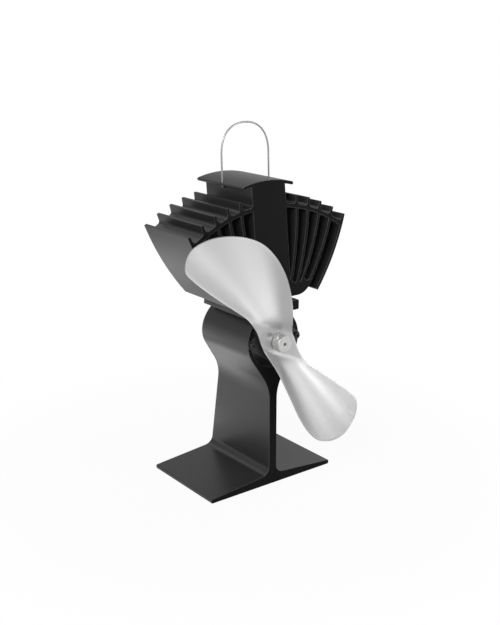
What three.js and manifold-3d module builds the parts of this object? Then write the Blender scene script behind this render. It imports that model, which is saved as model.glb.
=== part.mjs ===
// A thermoelectric stove fan: a black aluminium stand and a finned heat sink clamped round
// a thermoelectric module, a small motor in the stand's head, a two-bladed fan pressed from
// one sheet, and a wire carrying handle.
// Millimetres, +Z up, the fan faces -Y, origin on the floor under the middle of the foot.
import * as THREE from "three";
import { mergeVertices } from "three/addons/utils/BufferGeometryUtils.js";
import Module from "manifold-3d";

const wasm = await Module();
wasm.setup();

// Clearances and the overrun of cutting solids
const seatGap = 0.25;
const runningGap = 0.15;
const cutOverrun = 2;
const samePoint = 0.000001; // points of an outline that are closer are one

// The stand: foot, stem, motor chamber and platform in one extrusion
const stand = {
  width: 121,
  depth: 80.2,
  footEdge: 3.6,
  footRound: 1.2,
  footSlope: 5, // degrees
  stemHalf: 3.75,
  rootFillet: 7,
  neckFillet: 34,
  flareAngle: 34, // degrees
  chamberClearance: 9.4, // round the motor
  armWall: 3.3,
  shoulderAngle: 55.8, // degrees above the axis where the head meets the platform
  ceilingDrop: 1,
  platformHalf: 25.3,
  platformThickness: 7.8,
  platformRound: 1,
  platformMargin: 0.9, // outside the clamp bushes
  portRadius: 3.2,
  sawStart: 8, // height of the slanted rear cut at the foot
};

// The heat sink: core, column, cap, webs and fins in one extrusion sawn off at a lean
const sink = {
  frontOverhang: 2,
  rearOverhang: 0.5,
  lean: 6.1, // degrees
  coreFlatHalf: 22.2,
  coreRound: 16,
  coreRise: 5.9,
  coreHeight: 10.1,
  columnHalf: 15.9,
  capHalf: 24,
  capThickness: 2.6,
  capEdgeHeight: 86.4, // from the underside to the middle of the cap's edge
  capRise: 2.9,
  finThickness: 2.4,
  finPitch: 11.8,
  firstFinTip: 28.1,
  finBulge: 2.8,
  tipRadius: 134.7, // of the ring that the fins' tips reach
  tipDrop: 6.6, // from the cap's edge down to the top of that ring
  webDrop: 7, // from the fin tips down to the webs
  webThickness: 3,
  outerFinReach: 8.4, // the outer fin's foot from the corner of the core
  outerFinFoot: 0.6, // and its height above the underside
  channelRound: 2.4,
};
// The rooted fins' outer faces at their feet: across, as shares of the core's half width,
// and up, as shares of its height
const finFootShares = [
  [0.46, 0.6],
  [0.645, 0.6],
  [0.765, 0.62],
];

// The two-bladed fan, pressed from one sheet
const blade = {
  radius: 116,
  groundClearance: 6,
  standoff: 3.45, // from the motor plate to the back of the sheet
  sheet: 1,
  axisAngle: 130, // degrees
  strapMargin: 0.7, // the flat strap over the hub is wider than the collar by this on each side
  strapTurn: 27.5, // degrees from the strap to the blade's axis
  strapSoftness: 1.5, // over which a lobe starts to rise from the strap's side
  coneTip: 12, // beyond the hub, where the straight lines of a lobe's bend would meet
};
const bladeRampShare = 0.8; // how steeply a lobe rises from the strap's side
const rampSharpness = 5; // of the turn from that ramp into the lobe, as a power
// From the hub to a tip: distance along the blade, then the forward and the rear edge across, as
// shares of the blade's radius
const bladeStationShares = [
  [0, 0.132, -0.132],
  [0.095, 0.163, -0.105],
  [0.198, 0.202, -0.072],
  [0.31, 0.241, -0.066],
  [0.44, 0.277, -0.095],
  [0.578, 0.293, -0.129],
  [0.707, 0.279, -0.158],
  [0.819, 0.226, -0.178],
  [0.914, 0.143, -0.181],
  [0.974, 0.052, -0.134],
  [1, -0.066, -0.066],
];
// The bend of a lobe: degrees from the blade's axis round the bend's tip, and how far the sheet
// stands forward there, as a share of the distance from that tip
const bladeRiseShares = [
  [-14, 0],
  [-10, 0.006],
  [-6, 0.014],
  [-3, 0.0235],
  [-1, 0.0325],
  [1, 0.044],
  [3, 0.057],
  [8, 0.0915],
  [13.8, 0.131],
  [19, 0.172],
  [23.3, 0.218],
  [27, 0.276],
  [30.2, 0.345],
  [33.8, 0.42],
  [39.4, 0.52],
  [52, 0.7],
  [90, 0.9],
];

// The hub: a collar with a spigot through the blade, a washer behind it and a set screw
const hub = {
  radius: 7.3,
  length: 8.5,
  chamfer: 0.7,
  spigotRadius: 3.6,
  washerRadius: 6.2,
  washerThickness: 1,
  shaftRecess: 2.2,
  screwSetback: 3.1,
  screwAngle: 135, // degrees
  screwRadius: 1.4,
  screwHeadRadius: 1.8,
  screwHeadLength: 2.4,
};

// The motor
const motor = {
  radius: 12.2,
  wall: 0.8,
  bossWall: 0.8,
  bossLength: 1.8,
  shaftRadius: 1.15,
  bushWall: 1,
  bushLength: 2.6,
  frontClearance: 1.2,
  rearClearance: 0.4,
  coreLength: 5,
  coreHubRadius: 3,
  poleNeck: 2.4,
  poleShoe: 1.7,
  poleSpan: 96, // degrees
  airGap: 0.5,
  coilBuild: 1,
  magnetThickness: 2.2,
  magnetOverhang: 1,
  magnetSpan: 132, // degrees
  commutatorRadius: 2.3,
  commutatorLength: 2,
  brushThickness: 0.4,
  brushHalfHeight: 4.5,
  capThickness: 2.2,
  capRim: 1.2,
  rearBoss: 1.4,
  terminalOffset: 6,
  terminalHalfWidth: 1.3,
  terminalThickness: 0.5,
  terminalInside: 0.8,
  terminalOutside: 3.2,
  screwOffset: 8.6,
  screwRadius: 1,
  screwReach: 0.6, // past the inside of the can
  screwHeadRadius: 1.9,
  screwHeadLength: 1.2,
};

// The plate that hangs the motor in the chamber
const plate = {
  thickness: 1,
  discRadius: 16,
  earRadius: 3.6,
  screwRadius: 1.3,
  screwReach: 8,
  screwHeadRadius: 2.9,
  screwHeadLength: 1.8,
};
// The domed screw heads' profile: shares of the head's radius and of its height
const headDomeShares = [
  [0, 1],
  [0.6, 0.9],
  [1, 0.4],
  [1, 0],
];

// The thermoelectric module
const cell = {
  side: 40,
  plateThickness: 0.8,
  pelletHeight: 1.9,
  pelletSide: 3.2,
  tabThickness: 0.4,
  sealWidth: 1.2,
  sealMargin: 1.4,
};

// The two insulated screws that clamp it
const clamp = {
  margin: 1.6, // from the module to the bush
  screwRadius: 1.5,
  screwReach: 8,
  holeClearance: 1,
  headRadius: 2.75,
  headLength: 3,
  springWidth: 1.3,
  springThickness: 0.8,
  springMouth: 20, // degrees
  bushWall: 0.75,
  flangeRadius: 3.5,
  flangeThickness: 1,
};

// The carrying handle
const handle = {
  wireRadius: 0.7,
  legOffset: 22.4,
  setForward: 1.6, // of the middle of the cap
  lean: 2, // degrees
  archSpring: 20.7, // above the cap's edge
  archTop: 44.8,
  footLength: 3.4,
  footDrop: 3.6,
  footBend: 1.4,
  play: 14, // degrees that the slots leave it
};
const archShare = 2.3; // exponent of the arch's rounded outline

// The leads leave the module, hang behind the platform and run forward to the motor. Their
// routes are the red one's: inwards from the motor's terminal, then backwards and upwards from
// the module's rear edge, the platform's lower rear edge and the terminal's end
const lead = { radius: 0.75, steps: 44, sides: 8 };
const leadFromModule = [
  [0, 0.3, 0],
  [0, 5.7, 0],
];
const leadRoundPlatform = [
  [0, 3.3, 9.6],
  [0, 6.5, 5],
  [0.4, 6.3, -1.1],
  [0.8, 1.8, -5.8],
  [0.8, -8.7, -10],
];
const leadToMotor = [
  [0.4, 14.5, 5.8],
  [0, 5, 1.4],
  [0, 0.35, 0],
];

// Counts of copies and of facets
const pelletsPerRow = 6;
const poleCount = 3;
const freeFins = 1;
const facets = { round: 32, small: 20, bore: 14, wire: 8, arch: 13 };
const bladeSteps = { alongEachStation: 2, across: 12 };

// Working values
const degree = Math.PI / 180;
const axisHeight = blade.radius + blade.groundClearance;
const frontFace = -stand.depth / 2;
const chamberRadius = motor.radius + stand.chamberClearance;
const headRadius = chamberRadius + stand.armWall;
const platformUnderside = axisHeight + headRadius * Math.sin(stand.shoulderAngle * degree);
const platformTop = platformUnderside + stand.platformThickness;
const ceiling = platformUnderside - stand.ceilingDrop;
const portOffset = headRadius - stand.portRadius;
const bushRadius = clamp.screwRadius + runningGap + clamp.bushWall;
const clampOffset = cell.side / 2 + clamp.margin + bushRadius;
const platformHalfDepth = clampOffset + clamp.flangeRadius + stand.platformMargin;
const platformMiddle = frontFace + platformHalfDepth;
const clampPlaces = [platformMiddle - clampOffset, platformMiddle + clampOffset];
const hotTop = platformTop + seatGap + cell.plateThickness;
const coldBottom = hotTop + seatGap + cell.pelletHeight + seatGap;
const sinkUnderside = coldBottom + cell.plateThickness + seatGap;
const capEdge = sinkUnderside + sink.capEdgeHeight;
const leanShare = Math.tan(sink.lean * degree);
const sinkFront = frontFace - sink.frontOverhang;
const sinkDepth = 2 * platformHalfDepth + sink.frontOverhang + sink.rearOverhang;
const handlePlace = sinkFront + sinkDepth / 2 + leanShare * sink.capEdgeHeight - handle.setForward;

// Working values along the fan's axis, from the motor plate backwards and then forwards
const plateRear = frontFace - seatGap;
const plateFront = plateRear - plate.thickness;
const coilFront = frontFace + motor.wall + motor.frontClearance;
const coreFront = coilFront + motor.coilBuild + runningGap;
const coreRear = coreFront + motor.coreLength;
const commutatorFront = coreRear + runningGap + motor.coilBuild + seatGap;
const commutatorRear = commutatorFront + motor.commutatorLength;
const canRear = commutatorRear + motor.rearClearance;
const capFront = canRear + seatGap;
const capRear = capFront + motor.capThickness;
const bossRear = capRear + motor.rearBoss;
const bushOuter = motor.shaftRadius + runningGap + motor.bushWall;
const bossRadius = bushOuter + runningGap + motor.bossWall;
const magnetOuter = motor.radius - motor.wall - runningGap;
const magnetInner = magnetOuter - motor.magnetThickness;
const coreRadius = magnetInner - motor.airGap;
const bladeRear = plateFront - blade.standoff;
const bladeFront = bladeRear - blade.sheet;
const hubRear = bladeFront - seatGap;
const hubFront = hubRear - hub.length;
const strapHalf = hub.radius + blade.strapMargin;
const washerFront = bladeRear + seatGap;
const washerRear = washerFront + hub.washerThickness;

// Keeps the positions only, with the vertices merged, and turns the faces outwards
function solid(geometry) {
  const bare = geometry.clone();
  for (const name of Object.keys(bare.attributes)) {
    if (name !== "position") bare.deleteAttribute(name);
  }
  const merged = mergeVertices(bare);
  const place = merged.getAttribute("position");
  const corners = merged.getIndex().array;
  const [a, b, c] = [new THREE.Vector3(), new THREE.Vector3(), new THREE.Vector3()];
  const triangles = [];
  let volume = 0;
  for (let i = 0; i < corners.length; i += 3) {
    const triangle = [corners[i], corners[i + 1], corners[i + 2]];
    if (new Set(triangle).size < 3) continue;
    triangles.push(triangle);
    a.fromBufferAttribute(place, triangle[0]);
    b.fromBufferAttribute(place, triangle[1]);
    c.fromBufferAttribute(place, triangle[2]);
    volume += a.dot(b.cross(c));
  }
  if (volume < 0) triangles.forEach((triangle) => triangle.reverse());
  merged.setIndex(triangles.flat());
  return merged;
}

function toManifold(geometry) {
  const closed = solid(geometry);
  const mesh = new wasm.Mesh({
    numProp: 3,
    vertProperties: new Float32Array(closed.getAttribute("position").array),
    triVerts: new Uint32Array(closed.getIndex().array),
  });
  return new wasm.Manifold(mesh);
}

function fromManifold(manifold) {
  const mesh = manifold.getMesh();
  const geometry = new THREE.BufferGeometry();
  geometry.setAttribute("position", new THREE.BufferAttribute(mesh.vertProperties, 3));
  geometry.setIndex(new THREE.BufferAttribute(mesh.triVerts, 1));
  return geometry;
}

// Joins the first list of geometries and cuts the second list from them
function combine(joined, cut = []) {
  let body = toManifold(joined[0]);
  for (const piece of joined.slice(1)) body = body.add(toManifold(piece));
  for (const piece of cut) body = body.subtract(toManifold(piece));
  return fromManifold(body);
}

function common(first, second) {
  return fromManifold(toManifold(first).intersect(toManifold(second)));
}

// Points along an arc, with its angles in degrees
function arc(x, y, radius, from, to, steps) {
  return Array.from({ length: steps + 1 }, (_, i) => {
    const angle = (from + ((to - from) * i) / steps) * degree;
    return [x + radius * Math.cos(angle), y + radius * Math.sin(angle)];
  });
}

function circle(x, y, radius, steps = facets.round) {
  return arc(x, y, radius, 0, 360, steps).slice(0, -1);
}

// A band of a ring between two angles in degrees
function ringBand(x, y, outer, inner, from, to, steps) {
  return [...arc(x, y, outer, from, to, steps), ...arc(x, y, inner, to, from, steps)];
}

// The whole outline of a symmetric shape from its right half, listed from the bottom up
function mirrored(half) {
  const left = half.filter(([x]) => x > 0).map(([x, z]) => [-x, z]);
  return [...half, ...left.reverse()];
}

// A shape with holes, without the points that repeat the one before
function outline(points, ...holes) {
  const toPath = (list) => {
    const path = list.map(([x, y]) => new THREE.Vector2(x, y));
    return path.filter((point, i) => point.distanceTo(path.at(i - 1)) > samePoint);
  };
  const shape = new THREE.Shape(toPath(points));
  shape.holes = holes.map((hole) => new THREE.Path(toPath(hole)));
  return shape;
}

function extruded(shape, depth) {
  return new THREE.ExtrudeGeometry(shape, { depth, bevelEnabled: false });
}

// Slabs of an outline: drawn in X and Z, in Y and Z, and in X and Y
function slabAlongY(shape, from, to) {
  return extruded(shape, to - from).rotateX(Math.PI / 2).translate(0, to, 0);
}

function slabAlongX(shape, from, to) {
  return extruded(shape, to - from).rotateX(Math.PI / 2).rotateZ(Math.PI / 2).translate(from, 0, 0);
}

function slabAlongZ(shape, from, to) {
  return extruded(shape, to - from).translate(0, 0, from);
}

// A piece turned about the fan's axis from rows of radius and place along Y
function turned(rows, steps = facets.round, x = 0, z = axisHeight) {
  const profile = rows.map(([radius, y]) => new THREE.Vector2(radius, y));
  return new THREE.LatheGeometry(profile, steps).translate(x, 0, z);
}

// A piece turned about an upright axis from rows of radius and height
function turnedUpright(rows, y, steps = facets.small) {
  const profile = rows.map(([radius, z]) => new THREE.Vector2(radius, z));
  return new THREE.LatheGeometry(profile, steps).rotateX(Math.PI / 2).translate(0, y, 0);
}

function barrelRows(radius, from, to) {
  return [[0, from], [radius, from], [radius, to], [0, to]];
}

function barrel(radius, from, to, steps, x, z) {
  return turned(barrelRows(radius, from, to), steps, x, z);
}

function tube(outer, inner, from, to, steps) {
  return turned([[inner, from], [outer, from], [outer, to], [inner, to], [inner, from]], steps);
}

function box(xs, ys, zs) {
  const [width, depth, height] = [xs, ys, zs].map(([low, high]) => high - low);
  const [x, y, z] = [xs, ys, zs].map(([low, high]) => (low + high) / 2);
  return new THREE.BoxGeometry(width, depth, height).translate(x, y, z);
}

function rectangle(halfWidth, halfHeight, x = 0, y = 0) {
  return [
    [x - halfWidth, y - halfHeight],
    [x + halfWidth, y - halfHeight],
    [x + halfWidth, y + halfHeight],
    [x - halfWidth, y + halfHeight],
  ];
}

// A round wire along a curve
function wire(curve, radius, steps, sides) {
  const section = outline(circle(0, 0, radius, sides));
  return new THREE.ExtrudeGeometry(section, { steps, extrudePath: curve, bevelEnabled: false });
}

// Stand

function standProfile() {
  const edge = stand.width / 2;
  const slope = Math.tan(stand.footSlope * degree);
  const rootX = stand.stemHalf + stand.rootFillet;
  const topAtRoot = stand.footEdge + slope * (edge - rootX);
  const rootZ = topAtRoot + stand.rootFillet / Math.cos(stand.footSlope * degree);
  const flare = stand.flareAngle * degree;
  const neckX = stand.stemHalf + stand.neckFillet;
  const sideways = headRadius * Math.cos(flare) - stand.stemHalf;
  const straight = (sideways - stand.neckFillet * (1 - Math.cos(flare))) / Math.sin(flare);
  const arms = (headRadius + stand.neckFillet) * Math.sin(flare) + straight * Math.cos(flare);
  const footX = edge - stand.footRound;
  const lipX = stand.platformHalf - stand.platformRound;
  return mirrored([
    [0, 0],
    ...arc(footX, stand.footRound, stand.footRound, -90, 0, 3),
    ...arc(footX, stand.footEdge - stand.footRound, stand.footRound, 0, 90, 3),
    ...arc(rootX, rootZ, stand.rootFillet, 270 - stand.footSlope, 180, 7),
    ...arc(neckX, axisHeight - arms, stand.neckFillet, 180, 180 - stand.flareAngle, 8),
    ...arc(0, axisHeight, headRadius, -stand.flareAngle, stand.shoulderAngle, 16),
    ...arc(lipX, platformUnderside + stand.platformRound, stand.platformRound, -90, 0, 3),
    ...arc(lipX, platformTop - stand.platformRound, stand.platformRound, 0, 90, 3),
    [0, platformTop],
  ]);
}

function makeStand() {
  const rear = -frontFace;
  const [before, behind] = [frontFace - cutOverrun, rear + cutOverrun];
  const floor = axisHeight - chamberRadius - cutOverrun;
  const chamber = common(
    barrel(chamberRadius, before, behind, 2 * facets.round),
    box([-headRadius, headRadius], [before, behind], [floor, ceiling]),
  );
  const hollowed = combine([slabAlongY(outline(standProfile()), frontFace, rear)], [chamber]);
  const ports = [-portOffset, portOffset].map((x) =>
    barrel(stand.portRadius, frontFace, rear, facets.round, x),
  );
  const bore = plate.screwRadius + runningGap;
  const bores = [-portOffset, portOffset].map((x) => barrel(bore, before, behind, facets.bore, x));
  const bushHole = barrelRows(bushRadius + runningGap, ceiling - cutOverrun, platformTop + cutOverrun);
  const bushHoles = clampPlaces.map((y) => turnedUpright(bushHole, y));
  const sawn = outline([
    [frontFace, 0],
    [rear, 0],
    [rear, stand.sawStart],
    [platformMiddle + platformHalfDepth, platformTop],
    [frontFace, platformTop],
  ]);
  const reach = stand.width / 2 + cutOverrun;
  return common(combine([hollowed, ...ports], [...bores, ...bushHoles]), slabAlongX(sawn, -reach, reach));
}

// Heat sink

const tipCentre = capEdge - sink.tipDrop - sink.tipRadius;
const webRadius = sink.tipRadius - sink.webDrop;
const coreCorner = Math.acos(1 - sink.coreRise / sink.coreRound);
const coreHalf = sink.coreFlatHalf + sink.coreRound * Math.sin(coreCorner);
const capMiddle = sink.capHalf - sink.capThickness / 2;
const capRadius = (capMiddle ** 2 + sink.capRise ** 2) / (2 * sink.capRise);
const capCentre = capEdge + sink.capRise - capRadius;

// A fin's outer face is an arc from its tip to its foot that bulges to the right
function finArc(tip, foot) {
  const [start, end] = [new THREE.Vector2(...tip), new THREE.Vector2(...foot)];
  const radius = start.distanceToSquared(end) / (8 * sink.finBulge) + sink.finBulge / 2;
  const along = end.clone().sub(start).normalize();
  const centre = new THREE.Vector2(along.y, -along.x).multiplyScalar(radius - sink.finBulge);
  centre.add(start.clone().add(end).multiplyScalar(0.5));
  const from = start.sub(centre).angle() / degree;
  const to = end.sub(centre).angle() / degree;
  return { x: centre.x, z: centre.y, radius, from, to: to > from ? to - 360 : to };
}

function finArcs() {
  const feet = finFootShares.map(([across, up]) => [
    coreHalf * across,
    sinkUnderside + sink.coreHeight * up,
  ]);
  feet.push([coreHalf, sinkUnderside + sink.coreRise]);
  for (let i = 0; i < freeFins; i++) {
    const reach = sink.outerFinReach + i * sink.finPitch;
    feet.push([coreHalf + reach, sinkUnderside + sink.outerFinFoot]);
  }
  return feet.map((foot, i) => {
    const x = sink.firstFinTip + i * sink.finPitch;
    const z = tipCentre + Math.sqrt(sink.tipRadius ** 2 - x ** 2);
    return finArc([x, z], foot);
  });
}

// Where a fin's face crosses a ring about the tips' centre; the inset picks the face
function crossing(fin, inset, ringRadius) {
  const finRadius = fin.radius - inset;
  const [dx, dz] = [fin.x, fin.z - tipCentre];
  const distance = Math.hypot(dx, dz);
  const along = (distance ** 2 + ringRadius ** 2 - finRadius ** 2) / (2 * distance);
  const across = Math.sqrt(ringRadius ** 2 - along ** 2);
  const x = (along * dx + across * dz) / distance;
  const z = (along * dz - across * dx) / distance;
  return [x, tipCentre + z];
}

// The cut above a channel's rounded floor, drawn about the channel's middle
function channelCut(half, floor, top) {
  const round = Math.min(sink.channelRound, half);
  return [
    [half, top],
    [-half, top],
    ...arc(round - half, floor + round, round, 180, 270, 4),
    ...arc(half - round, floor + round, round, 270, 360, 4),
  ];
}

// Between two neighbouring faces on a ring: the cut that leaves the web's rounded floor
function webChannel(from, to) {
  const half = Math.hypot(to[0] - from[0], to[1] - from[1]) / 2;
  const angle = Math.atan2((from[0] + to[0]) / 2, (from[1] + to[1]) / 2 - tipCentre);
  const [sine, cosine] = [Math.sin(angle), Math.cos(angle)];
  const top = webRadius + sink.channelRound + cutOverrun;
  return channelCut(half, webRadius, top).map(([u, v]) => [
    u * cosine + v * sine,
    tipCentre + v * cosine - u * sine,
  ]);
}

// Between two rooted fins: the cut that leaves the core's rounded floor
function coreChannel(inner, outer) {
  const floor = sinkUnderside + sink.coreHeight;
  const level = floor + sink.channelRound;
  const faceAt = (fin, inset) => fin.x + Math.sqrt((fin.radius - inset) ** 2 - (level - fin.z) ** 2);
  const [left, right] = [faceAt(inner, 0), faceAt(outer, sink.finThickness)];
  const middle = (left + right) / 2;
  return channelCut((right - left) / 2, floor, level + cutOverrun).map(([u, v]) => [middle + u, v]);
}

function sinkProfiles() {
  const fins = finArcs();
  const rooted = fins.slice(0, fins.length - freeFins);
  const outer = fins[fins.length - 1];
  const raised = sinkUnderside + sink.coreHeight + sink.channelRound;
  const cornerAngle = coreCorner / degree - 90;
  const lastRoot = rooted[rooted.length - 1];
  const middleRadius = lastRoot.radius - sink.finThickness / 2;
  const shoulder = lastRoot.x + Math.sqrt(middleRadius ** 2 - (raised - lastRoot.z) ** 2);
  const core = mirrored([
    [0, sinkUnderside],
    ...arc(sink.coreFlatHalf, sinkUnderside + sink.coreRound, sink.coreRound, -90, cornerAngle, 7),
    [shoulder, raised],
    [0, raised],
  ]);
  const columnAngle = Math.asin(sink.columnHalf / capRadius) / degree;
  const column = [
    [-sink.columnHalf, sinkUnderside + sink.coreHeight / 2],
    [sink.columnHalf, sinkUnderside + sink.coreHeight / 2],
    ...arc(0, capCentre, capRadius, 90 - columnAngle, 90 + columnAngle, 10),
  ];
  const capTurn = 90 - Math.asin(capMiddle / capRadius) / degree;
  const halfCap = sink.capThickness / 2;
  const cap = [
    ...arc(0, capCentre, capRadius + halfCap, capTurn, 180 - capTurn, 18),
    ...arc(-capMiddle, capEdge, halfCap, 180 - capTurn, 360 - capTurn, 6).slice(1, -1),
    ...arc(0, capCentre, capRadius - halfCap, 180 - capTurn, capTurn, 18),
    ...arc(capMiddle, capEdge, halfCap, capTurn - 180, capTurn, 6).slice(1, -1),
  ];
  const finBands = fins.map((fin) =>
    ringBand(fin.x, fin.z, fin.radius, fin.radius - sink.finThickness, fin.from, fin.to, 10),
  );
  const [endX, endZ] = crossing(outer, sink.finThickness / 2, webRadius);
  const bandEnd = Math.atan2(endZ - tipCentre, endX) / degree;
  const bandTop = webRadius + sink.channelRound;
  const web = ringBand(0, tipCentre, bandTop, webRadius - sink.webThickness, bandEnd, 90, 22);
  const columnFace = [sink.columnHalf, tipCentre + Math.sqrt(bandTop ** 2 - sink.columnHalf ** 2)];
  const webCuts = fins.map((fin, i) => {
    const left = i === 0 ? columnFace : crossing(fins[i - 1], 0, bandTop);
    return webChannel(left, crossing(fin, sink.finThickness, bandTop));
  });
  const coreCuts = rooted.slice(1).map((fin, i) => coreChannel(rooted[i], fin));
  return { core, column, cap, finBands, web, channels: [...webCuts, ...coreCuts] };
}

function makeHeatSink() {
  const { core, column, cap, finBands, web, channels } = sinkProfiles();
  const top = capEdge + sink.capRise + sink.capThickness + cutOverrun;
  const lowest = sinkUnderside - cutOverrun;
  const faceAt = (height) => sinkFront + leanShare * (height - sinkUnderside);
  const [before, behind] = [faceAt(lowest) - cutOverrun, faceAt(top) + sinkDepth + cutOverrun];
  const bothSides = (points) => [1, -1].map((way) => points.map(([x, z]) => [way * x, z]));
  const slab = (points) => slabAlongY(outline(points), before, behind);
  const floors = combine(
    [core, ...bothSides(web)].map(slab),
    channels.flatMap(bothSides).map(slab),
  );
  const section = combine([floors, ...[column, cap, ...finBands.flatMap(bothSides)].map(slab)]);
  const reach = coreHalf + sink.tipRadius;
  const sawn = outline([
    [faceAt(lowest), lowest],
    [faceAt(lowest) + sinkDepth, lowest],
    [faceAt(top) + sinkDepth, top],
    [faceAt(top), top],
  ]);
  const slotHalf = handle.wireRadius + runningGap;
  const slotPlay = (sink.capThickness / 2) * Math.tan(handle.play * degree) + runningGap;
  const slots = [-handle.legOffset, handle.legOffset].map((x) =>
    slabAlongZ(
      outline([
        ...arc(x, handlePlace - slotPlay, slotHalf, 180, 360, 8),
        ...arc(x, handlePlace + slotPlay, slotHalf, 0, 180, 8),
      ]),
      capEdge - sink.capThickness,
      top,
    ),
  );
  const tapping = sinkUnderside + clamp.screwReach + clamp.holeClearance;
  const tapped = barrelRows(clamp.screwRadius + runningGap, sinkUnderside - cutOverrun, tapping);
  const tappedHoles = clampPlaces.map((y) => turnedUpright(tapped, y, facets.bore));
  const trimmed = common(section, slabAlongX(sawn, -reach, reach));
  return combine([trimmed], [...slots, ...tappedHoles]);
}

// Carrying handle

// Sets one ring of the wire at each listed point
class ListedCurve extends THREE.CatmullRomCurve3 {
  getUtoTmapping(share) {
    return share;
  }
}

function makeHandle() {
  const { legOffset, archSpring, archTop, footBend, footDrop, footLength } = handle;
  const half = [
    [legOffset - footLength, -footDrop],
    ...arc(legOffset - footBend, footBend - footDrop, footBend, -90, 0, 5),
  ];
  for (let i = 1; i <= 3; i++) half.push([legOffset, (archSpring * i) / 4]);
  for (let i = 0; i <= facets.arch; i++) {
    const angle = (90 * i * degree) / facets.arch;
    const across = Math.max(0, Math.cos(angle)) ** (2 / archShare);
    const up = Math.sin(angle) ** (2 / archShare);
    half.push([i < facets.arch ? legOffset * across : 0, archSpring + (archTop - archSpring) * up]);
  }
  const points = mirrored(half).map(([x, z]) => new THREE.Vector3(x, 0, z));
  const loop = wire(new ListedCurve(points), handle.wireRadius, points.length - 1, facets.wire);
  return loop.rotateX(-handle.lean * degree).translate(0, handlePlace, capEdge);
}

// Fan

// The value at a place on a smooth curve through a table's rows, level at both ends
function alongTable(rows, place) {
  const last = rows.length - 1;
  const next = rows.findIndex((row) => row[0] > place);
  if (next <= 0) return rows[next === 0 ? 0 : last][1];
  const slopeAt = (i) => {
    if (i === 0 || i === last) return 0;
    return (rows[i + 1][1] - rows[i - 1][1]) / (rows[i + 1][0] - rows[i - 1][0]);
  };
  const [[from, low], [to, high]] = [rows[next - 1], rows[next]];
  const share = (place - from) / (to - from);
  const level = low + (high - low) * THREE.MathUtils.smoothstep(share, 0, 1);
  const lean = slopeAt(next - 1) * (1 - share) - slopeAt(next) * share;
  return level + (to - from) * share * (1 - share) * lean;
}

// How far in front of the strap the sheet stands at a place along and across the blade
function bladeForward(along, across) {
  const turn = blade.strapTurn * degree;
  const fromStrap = along * Math.sin(turn) + across * Math.cos(turn);
  const side = Math.sign(fromStrap);
  const [a, c] = [side * along + blade.coneTip, side * across];
  const rise = alongTable(bladeRiseShares, Math.atan2(c, a) / degree) * Math.hypot(a, c);
  const beyond = Math.abs(fromStrap) - strapHalf;
  const eased = Math.max(0, beyond) ** 2 / Math.hypot(beyond, blade.strapSoftness);
  const ramp = bladeRampShare * eased;
  if (rise === 0 || ramp === 0) return 0;
  return (rise ** -rampSharpness + ramp ** -rampSharpness) ** (-1 / rampSharpness);
}

// One edge from tip to tip and back along the other, as shares of the radius
function bladeEdgeShares() {
  const forward = bladeStationShares.map(([along, across]) => [along, across]);
  const rear = bladeStationShares.map((row) => [-row[0], -row[2]]);
  const oneSide = [...forward.reverse(), ...rear.slice(1)];
  const otherSide = oneSide.slice(1, -1).map(([along, across]) => [-along, -across]);
  return [...oneSide, ...otherSide];
}

// The middle of the sheet: rows of points across the blade between one tip and the other
function bladeRows() {
  const shares = bladeEdgeShares();
  const edge = new THREE.CatmullRomCurve3(
    shares.map(([along, across]) => new THREE.Vector3(along * blade.radius, across * blade.radius, 0)),
    true,
  );
  const stepCount = (shares.length / 2) * bladeSteps.alongEachStation;
  const rows = [];
  for (let i = 0; i <= stepCount; i++) {
    const right = edge.getPoint(i / (2 * stepCount));
    const left = edge.getPoint(1 - i / (2 * stepCount));
    const count = i === 0 || i === stepCount ? 0 : bladeSteps.across;
    const row = [];
    for (let j = 0; j <= count; j++) {
      const point = left.clone().lerp(right, j / Math.max(1, count));
      point.z = bladeForward(point.x, point.y);
      row.push(point);
    }
    rows.push(row);
  }
  return rows;
}

// Joins the rows into triangles; the tips are single points
function surfaceOf(rows) {
  const starts = [];
  let count = 0;
  for (const row of rows) {
    starts.push(count);
    count += row.length;
  }
  const triangles = [];
  for (let i = 0; i + 1 < rows.length; i++) {
    const [near, far] = [rows[i].length - 1, rows[i + 1].length - 1];
    for (let j = 0; j < Math.max(near, far); j++) {
      const [a, b] = [starts[i] + Math.min(j, near), starts[i] + Math.min(j + 1, near)];
      const [c, d] = [starts[i + 1] + Math.min(j, far), starts[i + 1] + Math.min(j + 1, far)];
      if (a !== b) triangles.push([a, b, d]);
      if (c !== d) triangles.push([a, d, c]);
    }
  }
  const ends = rows.map((row, i) => starts[i] + row.length - 1);
  return { triangles, rim: [...starts, ...ends.slice(1, -1).reverse()] };
}

// A sheet of even thickness about its middle surface
function thickened(points, { triangles, rim }, thickness) {
  const middle = new THREE.BufferGeometry().setFromPoints(points);
  middle.setIndex(triangles.flat());
  middle.computeVertexNormals();
  const normals = middle.getAttribute("normal");
  const faces = [thickness / 2, -thickness / 2].flatMap((offset) =>
    points.map((point, i) => {
      const normal = new THREE.Vector3().fromBufferAttribute(normals, i);
      return point.clone().addScaledVector(normal, offset);
    }),
  );
  const count = points.length;
  const index = [];
  for (const [a, b, c] of triangles) index.push(a, b, c, c + count, b + count, a + count);
  rim.forEach((a, i) => {
    const b = rim[(i + 1) % rim.length];
    index.push(a, b, a + count, b, b + count, a + count);
  });
  const sheet = new THREE.BufferGeometry().setFromPoints(faces);
  sheet.setIndex(index);
  return sheet;
}

function makeBlade() {
  const angle = blade.axisAngle * degree;
  const [sine, cosine] = [Math.sin(angle), Math.cos(angle)];
  const rows = bladeRows();
  const points = rows.flat().map(({ x, y, z }) =>
    new THREE.Vector3(
      x * cosine + y * sine,
      (bladeRear + bladeFront) / 2 - z,
      axisHeight + x * sine - y * cosine,
    ),
  );
  const sheet = thickened(points, surfaceOf(rows), blade.sheet);
  const hole = barrel(hub.spigotRadius + runningGap, bladeFront - cutOverrun, bladeRear + cutOverrun);
  return combine([sheet], [hole]);
}

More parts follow.
